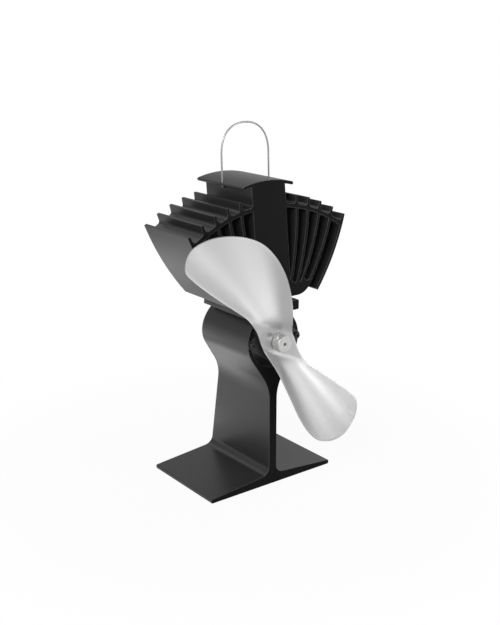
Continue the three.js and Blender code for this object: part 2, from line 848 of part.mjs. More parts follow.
// A round bar that points away from the fan's axis, from one distance to another
function radialBarrel(radius, from, to, steps) {
  const profile = barrelRows(radius, from, to).map(([r, y]) => new THREE.Vector2(r, y));
  const bar = new THREE.LatheGeometry(profile, steps).rotateX(Math.PI / 2);
  const turn = (90 - hub.screwAngle) * degree;
  return bar.rotateY(turn).translate(0, hubFront + hub.screwSetback, axisHeight);
}

function makeHub() {
  const bore = motor.shaftRadius + runningGap;
  const body = turned([
    [bore, hubFront],
    [hub.radius - hub.chamfer, hubFront],
    [hub.radius, hubFront + hub.chamfer],
    [hub.radius, hubRear],
    [hub.spigotRadius, hubRear],
    [hub.spigotRadius, washerRear],
    [bore, washerRear],
    [bore, hubFront],
  ]);
  const thread = radialBarrel(hub.screwRadius + runningGap, 0, hub.radius + cutOverrun, facets.bore);
  return combine([body], [thread]);
}

function makeSetScrew() {
  const tip = motor.shaftRadius + seatGap;
  const seat = hub.radius + seatGap;
  return combine([
    radialBarrel(hub.screwRadius, tip, seat + hub.screwHeadLength, facets.bore),
    radialBarrel(hub.screwHeadRadius, seat, seat + hub.screwHeadLength, facets.small),
  ]);
}

function makeBladeRing() {
  return tube(hub.washerRadius, hub.spigotRadius + runningGap, washerFront, washerRear);
}

// Motor plate and its screws

function makePlate() {
  const tangent = Math.acos((plate.discRadius - plate.earRadius) / portOffset) / degree;
  const bothWays = (offset) => [-offset, offset];
  const earBore = plate.screwRadius + runningGap;
  const screwBore = motor.screwRadius + runningGap;
  const shape = outline(
    [
      ...arc(portOffset, axisHeight, plate.earRadius, -tangent, tangent, 10),
      ...arc(0, axisHeight, plate.discRadius, tangent, 180 - tangent, 10),
      ...arc(-portOffset, axisHeight, plate.earRadius, 180 - tangent, 180 + tangent, 10),
      ...arc(0, axisHeight, plate.discRadius, 180 + tangent, 360 - tangent, 10),
    ],
    circle(0, axisHeight, bossRadius + runningGap, facets.small),
    ...bothWays(portOffset).map((x) => circle(x, axisHeight, earBore, facets.bore)),
    ...bothWays(motor.screwOffset).map((z) => circle(0, axisHeight + z, screwBore, facets.bore)),
  );
  return slabAlongY(shape, plateFront, plateRear);
}

// A screw in the plate with a domed head
function plateScrew(sizes, end, x, z) {
  const seat = plateFront - seatGap;
  const head = headDomeShares.map(([across, up]) => [
    sizes.screwHeadRadius * across,
    seat - sizes.screwHeadLength * up,
  ]);
  const shank = [[sizes.screwRadius, seat], [sizes.screwRadius, end], [0, end]];
  return turned([...head, ...shank], facets.small, x, z);
}

// Motor

function makeCan() {
  const inner = motor.radius - motor.wall;
  const bore = bushOuter + runningGap;
  const body = turned([
    [bore, frontFace - motor.bossLength],
    [bossRadius, frontFace - motor.bossLength],
    [bossRadius, frontFace],
    [motor.radius, frontFace],
    [motor.radius, canRear],
    [inner, canRear],
    [inner, frontFace + motor.wall],
    [bore, frontFace + motor.wall],
    [bore, frontFace - motor.bossLength],
  ]);
  const screwBore = motor.screwRadius + runningGap;
  const [before, behind] = [frontFace - cutOverrun, frontFace + motor.wall + cutOverrun];
  const holes = [axisHeight - motor.screwOffset, axisHeight + motor.screwOffset].map((z) =>
    barrel(screwBore, before, behind, facets.bore, 0, z),
  );
  return combine([body], holes);
}

function makeEndCap() {
  const bore = bushOuter + runningGap;
  const rimOuter = motor.radius - motor.wall - runningGap;
  const body = turned([
    [bore, capFront],
    [rimOuter - motor.capRim, capFront],
    [rimOuter - motor.capRim, capFront - motor.capRim],
    [rimOuter, capFront - motor.capRim],
    [rimOuter, capFront],
    [motor.radius, capFront],
    [motor.radius, capRear],
    [bossRadius, capRear],
    [bossRadius, bossRear],
    [bore, bossRear],
    [bore, capFront],
  ]);
  const halfSlot = motor.terminalThickness / 2 + runningGap;
  const slotHeight = motor.terminalHalfWidth + runningGap;
  const slots = [-motor.terminalOffset, motor.terminalOffset].map((x) =>
    box(
      [x - halfSlot, x + halfSlot],
      [capFront - cutOverrun, capRear + cutOverrun],
      [axisHeight - slotHeight, axisHeight + slotHeight],
    ),
  );
  return combine([body], slots);
}

function makeTerminal(x) {
  return box(
    [x - motor.terminalThickness / 2, x + motor.terminalThickness / 2],
    [capFront - motor.terminalInside, capRear + motor.terminalOutside],
    [axisHeight - motor.terminalHalfWidth, axisHeight + motor.terminalHalfWidth],
  );
}

function makeBush(from, to) {
  return tube(bushOuter, motor.shaftRadius + runningGap, from, to, facets.small);
}

function makeMagnet(middleAngle) {
  const [from, to] = [middleAngle - motor.magnetSpan / 2, middleAngle + motor.magnetSpan / 2];
  const shape = outline(ringBand(0, axisHeight, magnetOuter, magnetInner, from, to, 12));
  return slabAlongY(shape, coreFront - motor.magnetOverhang, coreRear + motor.magnetOverhang);
}

// Turns a piece made for the upper pole to another pole
function toPole(geometry, pole) {
  return geometry.rotateY((pole * 2 * Math.PI) / poleCount).translate(0, 0, axisHeight);
}

function makeRotorCore() {
  const [from, to] = [90 - motor.poleSpan / 2, 90 + motor.poleSpan / 2];
  const shoe = outline(ringBand(0, 0, coreRadius, coreRadius - motor.poleShoe, from, to, 10));
  const neckHalf = motor.poleNeck / 2;
  const neckEnd = coreRadius - motor.poleShoe / 2;
  const poles = [];
  for (let i = 0; i < poleCount; i++) {
    poles.push(toPole(slabAlongY(shoe, coreFront, coreRear), i));
    poles.push(toPole(box([-neckHalf, neckHalf], [coreFront, coreRear], [0, neckEnd]), i));
  }
  const bore = motor.shaftRadius + runningGap;
  return combine(
    [barrel(motor.coreHubRadius, coreFront, coreRear, facets.small), ...poles],
    [barrel(bore, coreFront - cutOverrun, coreRear + cutOverrun, facets.bore)],
  );
}

function makeCoil(pole) {
  const middle = (coreFront + coreRear) / 2;
  const innerHalf = motor.poleNeck / 2 + runningGap;
  const innerReach = motor.coreLength / 2 + runningGap;
  const outerHalf = innerHalf + motor.coilBuild;
  const start = motor.coreHubRadius + seatGap;
  const shoeInner = coreRadius - motor.poleShoe - seatGap;
  const end = Math.sqrt(shoeInner ** 2 - outerHalf ** 2);
  const shape = outline(
    rectangle(outerHalf, innerReach + motor.coilBuild, 0, middle),
    rectangle(innerHalf, innerReach, 0, middle),
  );
  return toPole(slabAlongZ(shape, start, end), pole);
}

function makeCommutator() {
  const bore = motor.shaftRadius + runningGap;
  return tube(motor.commutatorRadius, bore, commutatorFront, commutatorRear, facets.small);
}

function makeBrush(way) {
  const near = motor.commutatorRadius + runningGap;
  const across = [way * near, way * (near + motor.brushThickness)].sort((a, b) => a - b);
  return box(
    across,
    [commutatorFront + seatGap, capFront - seatGap],
    [axisHeight - motor.brushHalfHeight, axisHeight + motor.brushHalfHeight],
  );
}

function makeShaft() {
  return barrel(motor.shaftRadius, hubFront + hub.shaftRecess, bossRear - seatGap, facets.bore);
}

// Leads

function makeLead(way) {
  const stretches = [
    [leadFromModule, platformMiddle + cell.side / 2, (hotTop + coldBottom) / 2],
    [leadRoundPlatform, platformMiddle + platformHalfDepth, platformUnderside],
    [leadToMotor, capRear + motor.terminalOutside, axisHeight],
  ];
  const points = stretches.flatMap(([route, y, z]) =>
    route.map(([inwards, back, up]) =>
      new THREE.Vector3(way * (motor.terminalOffset - inwards), y + back, z + up),
    ),
  );
  return wire(new THREE.CatmullRomCurve3(points), lead.radius, lead.steps, lead.sides);
}

// Thermoelectric module

function cellSlab(from, to, ...holes) {
  const half = cell.side / 2;
  return slabAlongZ(outline(rectangle(half, half, 0, platformMiddle), ...holes), from, to);
}

function makeSeal() {
  const half = cell.side / 2 - cell.sealWidth;
  const hole = rectangle(half, half, 0, platformMiddle);
  return cellSlab(hotTop + seatGap, coldBottom - seatGap, hole);
}

// Pellets in one chain that runs up and down the rows, joined by tabs above and below in turn
function makePellets() {
  const pitch = (cell.side - 2 * (cell.sealWidth + cell.sealMargin)) / pelletsPerRow;
  const [low, high] = [hotTop + seatGap, coldBottom - seatGap];
  const half = cell.pelletSide / 2;
  const offset = (pelletsPerRow - 1) / 2;
  const placeOf = (k) => {
    const row = Math.floor(k / pelletsPerRow);
    const step = k % pelletsPerRow;
    const column = row % 2 === 0 ? step : pelletsPerRow - 1 - step;
    return [(column - offset) * pitch, platformMiddle + (row - offset) * pitch];
  };
  const pieces = [];
  for (let k = 0; k < pelletsPerRow ** 2; k++) {
    const [x, y] = placeOf(k);
    pieces.push(box([x - half, x + half], [y - half, y + half], [low, high]));
    if (k === 0) continue;
    const [lastX, lastY] = placeOf(k - 1);
    const level = k % 2 === 0 ? [low, low + cell.tabThickness] : [high - cell.tabThickness, high];
    const xs = [Math.min(x, lastX) - half, Math.max(x, lastX) + half];
    const ys = [Math.min(y, lastY) - half, Math.max(y, lastY) + half];
    pieces.push(box(xs, ys, level));
  }
  return combine(pieces);
}

// Clamp screws, from the ceiling of the chamber down

const flangeTop = ceiling - seatGap;
const flangeBottom = flangeTop - clamp.flangeThickness;
const springTop = flangeBottom - seatGap;
const springBottom = springTop - clamp.springThickness;
const clampHeadTop = springBottom - seatGap;

function makeClampScrew(y) {
  const bottom = clampHeadTop - clamp.headLength;
  const end = sinkUnderside + clamp.screwReach;
  return turnedUpright(
    [
      [0, bottom],
      [clamp.headRadius, bottom],
      [clamp.headRadius, clampHeadTop],
      [clamp.screwRadius, clampHeadTop],
      [clamp.screwRadius, end],
      [0, end],
    ],
    y,
  );
}

function makeSpringWasher(y) {
  const inner = clamp.screwRadius + runningGap;
  const outer = inner + clamp.springWidth;
  const shape = outline(ringBand(0, y, outer, inner, clamp.springMouth, 360, facets.small));
  return slabAlongZ(shape, springBottom, springTop);
}

function makeClampBush(y) {
  const bore = clamp.screwRadius + runningGap;
  return turnedUpright(
    [
      [bore, flangeBottom],
      [clamp.flangeRadius, flangeBottom],
      [clamp.flangeRadius, flangeTop],
      [bushRadius, flangeTop],
      [bushRadius, platformTop],
      [bore, platformTop],
      [bore, flangeBottom],
    ],
    y,
  );
}

// Assembly

const group = new THREE.Group();

function add(name, geometry, colour, roughness, metalness) {
  const material = new THREE.MeshStandardMaterial({ color: colour, roughness, metalness });
  const mesh = new THREE.Mesh(solid(geometry), material);
  mesh.name = name;
  group.add(mesh);
}

add("base_stand", makeStand(), 0x1d1d1e, 0.45, 0.7);
add("heat_sink", makeHeatSink(), 0x1b1b1c, 0.45, 0.7);
add("carry_handle", makeHandle(), 0xc8c8c6, 0.22, 1);

add("fan_blade", makeBlade(), 0xbfc0c0, 0.35, 1);
add("blade_hub", makeHub(), 0xc9c9c8, 0.28, 1);
add("hub_set_screw", makeSetScrew(), 0x9a9a98, 0.3, 1);
add("blade_ring", makeBladeRing(), 0xb4b4b2, 0.35, 1);

const portEnd = frontFace + plate.screwReach;
const canEnd = frontFace + motor.wall + motor.screwReach;
add("motor_plate", makePlate(), 0x3a3a3b, 0.4, 0.9);
add("plate_screw_left", plateScrew(plate, portEnd, -portOffset, axisHeight), 0x8f8f8e, 0.3, 1);
add("plate_screw_right", plateScrew(plate, portEnd, portOffset, axisHeight), 0x8f8f8e, 0.3, 1);
add("motor_screw_upper", plateScrew(motor, canEnd, 0, axisHeight + motor.screwOffset), 0x8f8f8e, 0.3, 1);
add("motor_screw_lower", plateScrew(motor, canEnd, 0, axisHeight - motor.screwOffset), 0x8f8f8e, 0.3, 1);

const bossFront = frontFace - motor.bossLength;
add("motor_can", makeCan(), 0xa9aaab, 0.3, 1);
add("motor_end_cap", makeEndCap(), 0x1f1f20, 0.6, 0);
add("motor_terminal_left", makeTerminal(-motor.terminalOffset), 0xb8944e, 0.35, 1);
add("motor_terminal_right", makeTerminal(motor.terminalOffset), 0xb8944e, 0.35, 1);
add("front_bush", makeBush(bossFront, bossFront + motor.bushLength), 0xa98a52, 0.4, 1);
add("rear_bush", makeBush(bossRear - motor.bushLength, bossRear), 0xa98a52, 0.4, 1);
add("magnet_left", makeMagnet(180), 0x3c3c3e, 0.7, 0.2);
add("magnet_right", makeMagnet(0), 0x3c3c3e, 0.7, 0.2);
add("motor_shaft", makeShaft(), 0xb5b6b6, 0.2, 1);
add("rotor_core", makeRotorCore(), 0x77787a, 0.45, 1);
for (let i = 0; i < poleCount; i++) {
  add(`rotor_coil_${i + 1}`, makeCoil(i), 0x8f4a22, 0.4, 0.8);
}
add("commutator", makeCommutator(), 0xb26a3c, 0.3, 1);
add("brush_left", makeBrush(-1), 0xb8944e, 0.35, 1);
add("brush_right", makeBrush(1), 0xb8944e, 0.35, 1);
add("lead_red", makeLead(1), 0x8a1a16, 0.5, 0);
add("lead_black", makeLead(-1), 0x161616, 0.5, 0);

add("module_hot_plate", cellSlab(platformTop + seatGap, hotTop), 0xe8e6e0, 0.6, 0);
add("module_cold_plate", cellSlab(coldBottom, sinkUnderside - seatGap), 0xe8e6e0, 0.6, 0);
add("module_pellets", makePellets(), 0x86817a, 0.5, 0.6);
add("module_seal", makeSeal(), 0xdedcd4, 0.7, 0);
clampPlaces.forEach((y, i) => {
  const place = i === 0 ? "front" : "rear";
  add(`clamp_screw_${place}`, makeClampScrew(y), 0x8f8f8e, 0.3, 1);
  add(`clamp_washer_${place}`, makeSpringWasher(y), 0x8a8a89, 0.35, 1);
  add(`clamp_bush_${place}`, makeClampBush(y), 0xd9d4c4, 0.6, 0);
});

export default group;
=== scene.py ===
import math

import bpy
from mathutils import Matrix, Vector


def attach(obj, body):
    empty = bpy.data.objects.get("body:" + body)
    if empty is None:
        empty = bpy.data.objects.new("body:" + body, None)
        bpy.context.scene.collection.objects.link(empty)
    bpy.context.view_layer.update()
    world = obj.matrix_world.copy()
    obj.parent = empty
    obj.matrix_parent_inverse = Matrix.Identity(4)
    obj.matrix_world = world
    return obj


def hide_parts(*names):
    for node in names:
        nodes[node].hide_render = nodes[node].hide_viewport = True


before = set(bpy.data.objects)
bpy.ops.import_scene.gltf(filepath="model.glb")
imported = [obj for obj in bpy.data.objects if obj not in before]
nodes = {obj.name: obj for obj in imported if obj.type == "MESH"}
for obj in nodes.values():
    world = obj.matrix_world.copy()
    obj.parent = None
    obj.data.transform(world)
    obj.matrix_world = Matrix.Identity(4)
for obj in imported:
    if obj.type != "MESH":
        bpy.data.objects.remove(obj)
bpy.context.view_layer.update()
print("frame loaded with", len(nodes), "nodes")

mm = 0.001
perMetre = 1000  # millimetres
tiny = 1e-6
squarely = 0.9  # the least share of a face's normal along an axis, for it to face that way


# Modelling helpers

def only(piece):
    if bpy.context.object and bpy.context.object.mode != "OBJECT":
        bpy.ops.object.mode_set(mode="OBJECT")
    bpy.ops.object.select_all(action="DESELECT")
    piece.select_set(True)
    bpy.context.view_layer.objects.active = piece


def named(name):  # takes the primitive that was just added
    piece = bpy.context.object
    piece.name = name
    piece.data.name = name
    return piece


def settle(piece):  # puts the object at the origin, with its place in its mesh
    only(piece)
    bpy.ops.object.transform_apply(location=True, rotation=True, scale=True)


def pick(piece, test):  # edit mode, with the faces that pass the test selected
    only(piece)
    mesh = piece.data
    for group in (mesh.vertices, mesh.edges, mesh.polygons):
        group.foreach_set("select", [False] * len(group))
    for face in mesh.polygons:
        face.select = test(face.center, face.normal)
    bpy.ops.object.mode_set(mode="EDIT")
    bpy.ops.mesh.select_mode(type="FACE")


def done():
    bpy.ops.object.mode_set(mode="OBJECT")


def extrude(along):
    bpy.ops.mesh.extrude_region_move(TRANSFORM_OT_translate={"value": along})


def bevelled(piece, width, segments=2, angle=35, finishNumber=-1, clamped=True):
    only(piece)
    bevel = piece.modifiers.new("edges", "BEVEL")
    bevel.width = width * mm
    bevel.segments = segments
    bevel.limit_method = "ANGLE"
    bevel.angle_limit = math.radians(angle)
    bevel.use_clamp_overlap = clamped
    bevel.material = finishNumber
    bpy.ops.object.modifier_apply(modifier=bevel.name)


def smoothed(piece, angle=38, weighted=True):
    only(piece)
    bpy.ops.object.shade_smooth_by_angle(angle=math.radians(angle))
    if weighted:
        even = piece.modifiers.new("even shading", "WEIGHTED_NORMAL")
        even.keep_sharp = True
        bpy.ops.object.modifier_apply(modifier=even.name)


def cut(piece, tool):
    only(piece)
    boolean = piece.modifiers.new("cut", "BOOLEAN")
    boolean.operation = "DIFFERENCE"
    boolean.object = tool
    boolean.solver = "EXACT"
    bpy.ops.object.modifier_apply(modifier=boolean.name)
    bpy.data.objects.remove(tool)


# A copy of a CAD node, with vertices that are closer merged and faces that are flatter joined
def copyOfNode(node, name, closer=0.002, flatter=0.4):
    piece = bpy.data.objects.new(name, nodes[node].data.copy())
    bpy.context.scene.collection.objects.link(piece)
    only(piece)
    bpy.ops.object.mode_set(mode="EDIT")
    bpy.ops.mesh.select_all(action="SELECT")
    bpy.ops.mesh.remove_doubles(threshold=closer * mm)
    bpy.ops.mesh.dissolve_limited(angle_limit=math.radians(flatter))
    done()
    if piece.data.has_custom_normals:
        bpy.ops.mesh.customdata_custom_splitnormals_clear()
    return piece


def duplicateOf(piece, name):
    twin = bpy.data.objects.new(name, piece.data.copy())
    bpy.context.scene.collection.objects.link(twin)
    return twin


def turned(piece, degrees):  # about the Y axis
    piece.data.transform(Matrix.Rotation(math.radians(degrees), 4, "Y"))


def moved(piece, place):  # millimetres
    piece.data.transform(Matrix.Translation(Vector(place) * mm))


# In millimetres, from start to end along the axis and round the centre in the other two directions
def cylinder(name, radius, start, end, centre, axis="Y", sides=48):
    middle = (start + end) / 2
    place = {"Y": (centre[0], middle, centre[1]), "Z": (centre[0], centre[1], middle)}[axis]
    bpy.ops.object.select_all(action="DESELECT")
    bpy.ops.mesh.primitive_cylinder_add(
        vertices=sides,
        radius=radius * mm,
        depth=abs(end - start) * mm,
        location=Vector(place) * mm,
        rotation=(math.radians(90), 0, 0) if axis == "Y" else (0, 0, 0),
    )
    piece = named(name)
    settle(piece)
    return piece


# Shader helper

class Shade:  # a socket of a material's nodes, with the arithmetic that the finishes use
    def __init__(self, tree, socket=None):
        self.tree = tree
        self.socket = socket

    def node(self, kind, settings=None, inputs=None, output=0):
        made = self.tree.nodes.new("ShaderNode" + kind)
        for name, value in (settings or {}).items():
            setattr(made, name, value)
        for name, value in (inputs or {}).items():
            if isinstance(value, Shade):
                self.tree.links.new(value.socket, made.inputs[name])
            else:
                made.inputs[name].default_value = value
        return Shade(self.tree, made.outputs[output])

    def math(self, operation, first, second=0.0):
        return self.node("Math", {"operation": operation}, {0: first, 1: second})

    def __add__(self, other):
        return self.math("ADD", self, other)

    __radd__ = __add__

    def __mul__(self, other):
        return self.math("MULTIPLY", self, other)

    __rmul__ = __mul__

    def __sub__(self, other):
        return self.math("SUBTRACT", self, other)

    def __rsub__(self, other):
        return self.math("SUBTRACT", other, self)

    def blend(self, first, second):  # one colour to the other as this value goes from 0 to 1
        colours = [c if isinstance(c, Shade) else (*c, 1) for c in (first, second)]
        return self.node("Mix", {"data_type": "RGBA"}, {0: self, 6: colours[0], 7: colours[1]}, 2)

    def between(self, low, high):  # stretches a 0 to 1 value
        return self * (high - low) + low

    def place(self, scale=(1, 1, 1), move=(0, 0, 0), turn=(0, 0, 0)):  # millimetres on the piece
        point = self.node("TexCoord", output="Object")
        larger = [perMetre * s for s in scale]
        inputs = {"Vector": point, "Scale": larger, "Location": move, "Rotation": turn}
        return self.node("Mapping", {}, inputs)

    def noise(self, where, size, detail, roughness=0.55):  # size in millimetres
        inputs = {"Vector": where, "Scale": 1 / size, "Detail": detail, "Roughness": roughness}
        return self.node("TexNoise", {}, inputs)


def finish(name, build):  # a material whose Principled BSDF gets what build returns
    material = bpy.data.materials.new(name)
    material.use_nodes = True
    tree = material.node_tree
    shader = next(n for n in tree.nodes if n.type == "BSDF_PRINCIPLED")
    for socket, value in build(Shade(tree)).items():
        if isinstance(value, Shade):
            tree.links.new(value.socket, shader.inputs[socket])
        else:
            shader.inputs[socket].default_value = value
    return material


def bump(shade, height, depth, strength=1.0):  # depth in millimetres
    inputs = {"Height": height, "Distance": depth * mm, "Strength": strength}
    return shade.node("Bump", {}, inputs, "Normal")


def shades(tone, colour, darker, paler):  # from a darker to a paler shade of the colour
    return tone.blend([darker * c for c in colour], [min(1, paler * c) for c in colour])


# Finishes

anodised = {
    "colour": (0.015, 0.015, 0.0154),
    "paler": (0.024, 0.024, 0.0245),
    "roughness": (0.31, 0.38),
    "specular": 1.0,
}


def anodisedBlack(s):  # drawn lengthwise through the die, so the faint lines run along Y
    lines = s.noise(s.place((1, 0.012, 1)), 0.9, 4.0, 0.6)
    grain = s.noise(s.place(), 0.35, 2.0)
    patches = s.noise(s.place((1, 0.4, 1)), 24, 2.0)
    tone = 0.55 * lines + 0.25 * patches + 0.2 * grain
    return {
        "Base Color": tone.blend(anodised["colour"], anodised["paler"]),
        "Roughness": (0.5 * lines + 0.5 * patches).between(*anodised["roughness"]),
        "Specular IOR Level": anodised["specular"],
        "Normal": bump(s, 0.6 * lines + 0.4 * grain, 0.02),
    }


# Saw marks and roughness of the cut ends are real; their colour, darker than the anodised sides,
# is painted shade of the faces that face front and back
sawnEndShaded = {
    "colour": (0.003, 0.003, 0.0031),
    "paler": (0.008, 0.008, 0.0081),
    "roughness": (0.5, 0.66),
    "specular": 0.1,
    "tooth": 0.8,
}


def sawnAndShadedBlack(s):  # sawn across, then anodised with the rest; its colour, darker than the sides, is painted shade
    marks = s.noise(s.place((0.03, 1, 1), turn=(0, math.radians(8), 0)), sawnEndShaded["tooth"], 3.0)
    grain = s.noise(s.place(), 0.3, 2.0)
    tone = 0.6 * marks + 0.4 * grain
    return {
        "Base Color": tone.blend(sawnEndShaded["colour"], sawnEndShaded["paler"]),
        "Roughness": tone.between(*sawnEndShaded["roughness"]),
        "Specular IOR Level": sawnEndShaded["specular"],
        "Normal": bump(s, tone, 0.03),
    }


bladeFinish = {
    "colour": (0.525, 0.525, 0.525),
    "paler": (0.575, 0.575, 0.575),
    "roughness": (0.31, 0.35),
    "metallic": 0.92,
}


def satinSilver(s):
    rolled = s.noise(s.place((0.06, 1, 1), turn=(0, math.radians(40), 0)), 0.35, 2.0)
    grain = s.noise(s.place(), 0.3, 2.0)
    cloud = s.noise(s.place(), 22, 1.0)
    tone = 0.4 * rolled + 0.35 * cloud + 0.25 * grain
    return {
        "Base Color": tone.blend(bladeFinish["colour"], bladeFinish["paler"]),
        "Roughness": tone.between(*bladeFinish["roughness"]),
        "Metallic": bladeFinish["metallic"],
        "Normal": bump(s, 0.5 * rolled + 0.5 * grain, 0.0012),
    }


# Spread is of the roughness, and depth and size are of the grain, in millimetres
def metal(colour, roughness, spread=0.12, depth=0.006, size=0.5, stretch=(1, 1, 1), metallic=1.0):
    def build(s):
        fine = s.noise(s.place(stretch), size, 3.0)
        broad = s.noise(s.place(), 6, 2.0)
        tone = 0.6 * fine + 0.4 * broad
        return {
            "Base Color": shades(tone, colour, 0.82, 1.15),
            "Roughness": tone.between(roughness - spread / 2, roughness + spread / 2),
            "Metallic": metallic,
            "Normal": bump(s, fine, depth),
        }
    return build


def dull(colour, roughness, size=0.6, depth=0.02, spread=0.1):
    def build(s):
        fine = s.noise(s.place(), size, 4.0)
        broad = s.noise(s.place(), 9, 2.0)
        tone = 0.5 * fine + 0.5 * broad
        return {
            "Base Color": shades(tone, colour, 0.85, 1.12),
            "Roughness": tone.between(roughness - spread / 2, roughness + spread / 2),
            "Normal": bump(s, fine, depth),
        }
    return build


# Rings left by the lathe about an axis along Y
def turnedAbout(centre, colour, roughness, spread=0.12, pitch=0.18):
    def build(s):
        point = s.place((1, 0, 1), move=(-centre[0], 0, -centre[1]))
        radius = s.node("VectorMath", {"operation": "LENGTH"}, {0: point}, "Value")
        rings = s.node("Math", {"operation": "SINE"}, {0: radius * (2 * math.pi / pitch)})
        grain = s.noise(s.place(), 0.4, 2.0)
        tone = 0.25 * rings + 0.5 * grain + 0.25
        return {
            "Base Color": shades(tone, colour, 0.85, 1.1),
            "Roughness": tone.between(roughness - spread / 2, roughness + spread / 2),
            "Metallic": 1.0,
            "Normal": bump(s, rings, 0.004, 0.5),
        }
    return build


axisHeight = 122  # of the fan's axis above the floor

finishes = {
    # name, what builds it
    "anodised": ("anodised black", anodisedBlack),
    "sawn": ("sawn end in painted shade", sawnAndShadedBlack),
    # paler, more metallic finish for the bevelled edges: a painted highlight along them, not wear
    "paintedHighlight": ("painted edge highlight", metal((0.1, 0.1, 0.1), 0.4, 0.1, 0.01, 0.8, (1, 0.1, 1), 0.6)),
    "blade": ("satin silver sheet", satinSilver),
    "wire": ("bright drawn wire", metal((0.5, 0.5, 0.49), 0.42, 0.04, 0.0001, 4, (1, 1, 0.1))),
    "collar": ("turned collar", turnedAbout((0, axisHeight), (0.62, 0.62, 0.61), 0.52)),
    "screw": ("zinc screw", metal((0.42, 0.42, 0.42), 0.34)),
    "hubScrew": ("hub screw", metal((0.7, 0.7, 0.7), 0.58)),
    "darkScrew": ("blackened screw", metal((0.035, 0.035, 0.036), 0.36, metallic=0.7)),
    "plate": ("dark plate", dull((0.02, 0.02, 0.021), 0.42, 0.5, 0.015)),
    "can": ("nickelled can", metal((0.5, 0.5, 0.51), 0.28, 0.08, 0.004, 0.5, (1, 0.05, 1))),
    "plastic": ("black moulding", dull((0.018, 0.018, 0.018), 0.55, 0.4, 0.02)),
    "brass": ("contact brass", metal((0.62, 0.44, 0.17), 0.35)),
    "bronze": ("sintered bronze", metal((0.42, 0.29, 0.13), 0.5, depth=0.015, size=0.25)),
    "ferrite": ("ground ferrite", dull((0.05, 0.05, 0.055), 0.7, 0.3, 0.02)),
    "core": ("stacked core sheet", metal((0.26, 0.26, 0.27), 0.45, stretch=(0.1, 1, 0.1))),
    "copper": ("lacquered copper", metal((0.55, 0.21, 0.08), 0.3, size=0.4, stretch=(1, 1, 0.1))),
    "leadRed": ("red silicone", dull((0.33, 0.02, 0.015), 0.5)),
    "leadBlack": ("black silicone", dull((0.014, 0.014, 0.014), 0.5)),
    "ceramic": ("unglazed ceramic", dull((0.78, 0.77, 0.74), 0.6, 0.3, 0.01)),
    "pellet": ("sawn pellets", metal((0.25, 0.24, 0.22), 0.5, metallic=0.6)),
    "seal": ("white sealant", dull((0.74, 0.72, 0.67), 0.55, 1.5, 0.05)),
    "bushPlastic": ("natural nylon", dull((0.62, 0.59, 0.5), 0.5)),
}
materials = {key: finish(*row) for key, row in finishes.items()}
print("finishes made:", len(materials))


def coat(piece, *names):
    piece.data.materials.clear()
    for name in names:
        piece.data.materials.append(materials[name])


def extrusion(node, name, look):  # sawn off at both ends, the sawn faces darker as painted shade, with its edges broken and given a paler, more metallic finish as a painted highlight
    piece = copyOfNode(node, name, look["closer"])
    own = ["anodised", "sawn", "paintedHighlight"]
    coat(piece, *own)
    for face in piece.data.polygons:
        # faces that face front or back take the sawn finish, darker as painted shade
        face.material_index = own.index("sawn" if abs(face.normal.y) > squarely else "anodised")
    highlightFinish = own.index("paintedHighlight")
    # Clamped, the shortest edge of the node would bring all the edges' width down to nothing
    bevelled(piece, look["edge"], look["segments"], finishNumber=highlightFinish, clamped=False)
    smoothed(piece)
    return piece


# Stand

standLook = {"closer": 0.2, "edge": 0.28, "segments": 2}

stand = extrusion("base_stand", "stand", standLook)
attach(stand, "stand")
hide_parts("base_stand")
print("stand made")


# Heat sink

sinkLook = {"closer": 0.2, "edge": 0.22, "segments": 2}

heatSink = extrusion("heat_sink", "heatSink", sinkLook)
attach(heatSink, "stand")
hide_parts("heat_sink")
print("heat sink made")


# Carrying handle

handle = {
    "wireRadius": 0.7,
    "legOffset": 22.4,
    "place": -4.816,
    "capEdge": 241.29,
    "lean": 2,
    "archSpring": 20.7,
    "archTop": 44.8,
    "footLength": 3.4,
    "footDrop": 2.7,
    "footBend": 1.4,
    "beforeBend": 0.6,
    "bendSteps": 8,
    "legSteps": 5,
    "archShare": 2.3,  # exponent of the arch's rounded outline
    "archSteps": 28,
    "endEdge": 0.15,
}


def handlePoints():
    leg, spring, top = handle["legOffset"], handle["archSpring"], handle["archTop"]
    bend, drop = handle["footBend"], handle["footDrop"]
    half = [(leg - handle["footLength"], -drop), (leg - bend - handle["beforeBend"], -drop)]
    for i in range(handle["bendSteps"] + 1):
        angle = math.radians(-90 + 90 * i / handle["bendSteps"])
        half.append((leg - bend + bend * math.cos(angle), bend - drop + bend * math.sin(angle)))
    half += [(leg, spring * i / handle["legSteps"]) for i in range(1, handle["legSteps"])]
    for i in range(handle["archSteps"] + 1):
        angle = math.radians(90 * i / handle["archSteps"])
        across = max(0, math.cos(angle)) ** (2 / handle["archShare"])
        up = math.sin(angle) ** (2 / handle["archShare"])
        half.append((leg * across, spring + (top - spring) * up))
    return half + [(-x, z) for x, z in reversed(half[:-1])]


bpy.ops.object.select_all(action="DESELECT")
bpy.ops.curve.primitive_nurbs_path_add()
wireLoop = named("carryingHandle")
wireLoop.data.splines.clear()
spline = wireLoop.data.splines.new("POLY")
route = handlePoints()
spline.points.add(len(route) - 1)
lean = Matrix.Rotation(math.radians(-handle["lean"]), 3, "X")
for point, (x, z) in zip(spline.points, route):
    place = lean @ Vector((x, 0, z)) + Vector((0, handle["place"], handle["capEdge"]))
    point.co = (*(place * mm), 1)
wireLoop.location = (0, 0, 0)
wireLoop.data.dimensions = "3D"
wireLoop.data.bevel_depth = handle["wireRadius"] * mm
wireLoop.data.bevel_resolution = 4
wireLoop.data.use_fill_caps = True
bpy.ops.object.convert(target="MESH")
wireLoop = bpy.context.object
settle(wireLoop)
bevelled(wireLoop, handle["endEdge"], angle=60)
coat(wireLoop, "wire")
smoothed(wireLoop, 50, weighted=False)
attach(wireLoop, "handle")
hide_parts("carry_handle")
print("handle made")


# Fan blade

